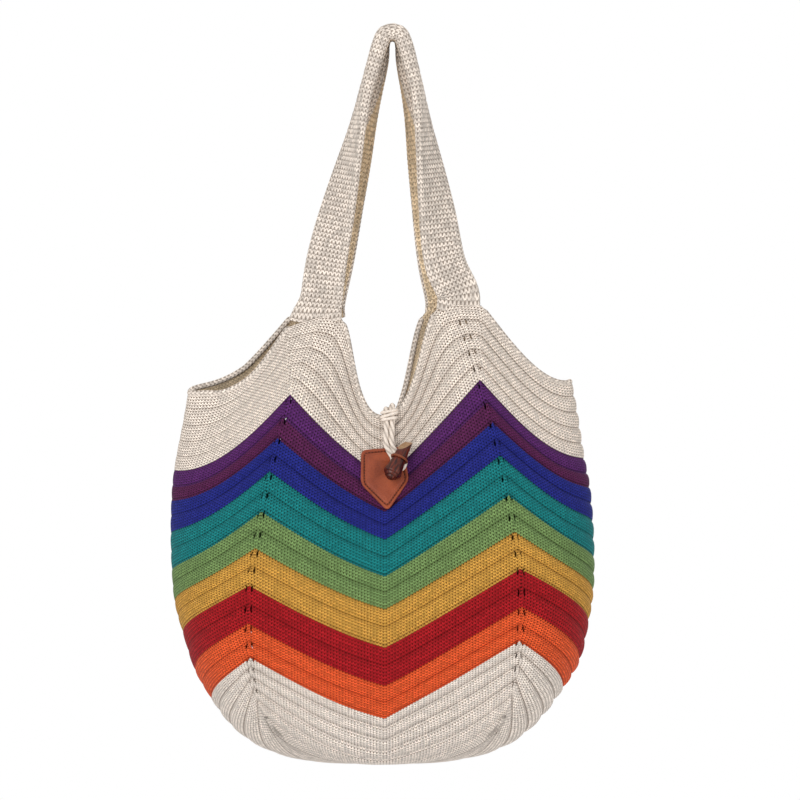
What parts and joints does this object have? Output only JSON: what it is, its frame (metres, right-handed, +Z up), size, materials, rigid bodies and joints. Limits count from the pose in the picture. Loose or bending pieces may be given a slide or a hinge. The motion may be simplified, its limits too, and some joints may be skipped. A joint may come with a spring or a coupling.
{
  "type": "knit tote bag",
  "caption": "Knitted tote bag with chevron stripes, two knitted handles, a leather patch and a toggle that a cord loop hooks over.",
  "frame": {"origin": "underside of the handles' arch, where a hook or a hand carries the bag", "axes": "+Z up along the hanging bag, -Y out of the front with the toggle, +X to the viewer's right"},
  "size_m": [0.4053, 0.1806, 0.7036],
  "materials": {
    "knit_striped": "chunky cotton knit in chevron stripes, matt",
    "knit_cream": "cream cotton knit, matt",
    "patch_leather": "tan saddle leather, saddle stitched",
    "thong_leather": "thin round leather thong",
    "toggle_horn": "dark polished turned toggle with a pale cut end",
    "loop_cord": "twisted cotton cord"
  },
  "bodies": {
    "bag": {"bag_body": "knit_striped", "front_handle": "knit_cream", "back_handle": "knit_cream", "leather_patch": "patch_leather", "button_loop": "loop_cord"},
    "toggle": {"toggle_button": "toggle_horn", "toggle_thong": "thong_leather"}
  },
  "joints": [
    {"name": "toggle_swivel", "type": "hinge", "parent": "bag", "child": "toggle", "pos_m": [0.00651, -0.0302, -0.40337], "axis": [0, -0.9231, 0.3846], "range_deg": [-90, 90]}
  ]
}
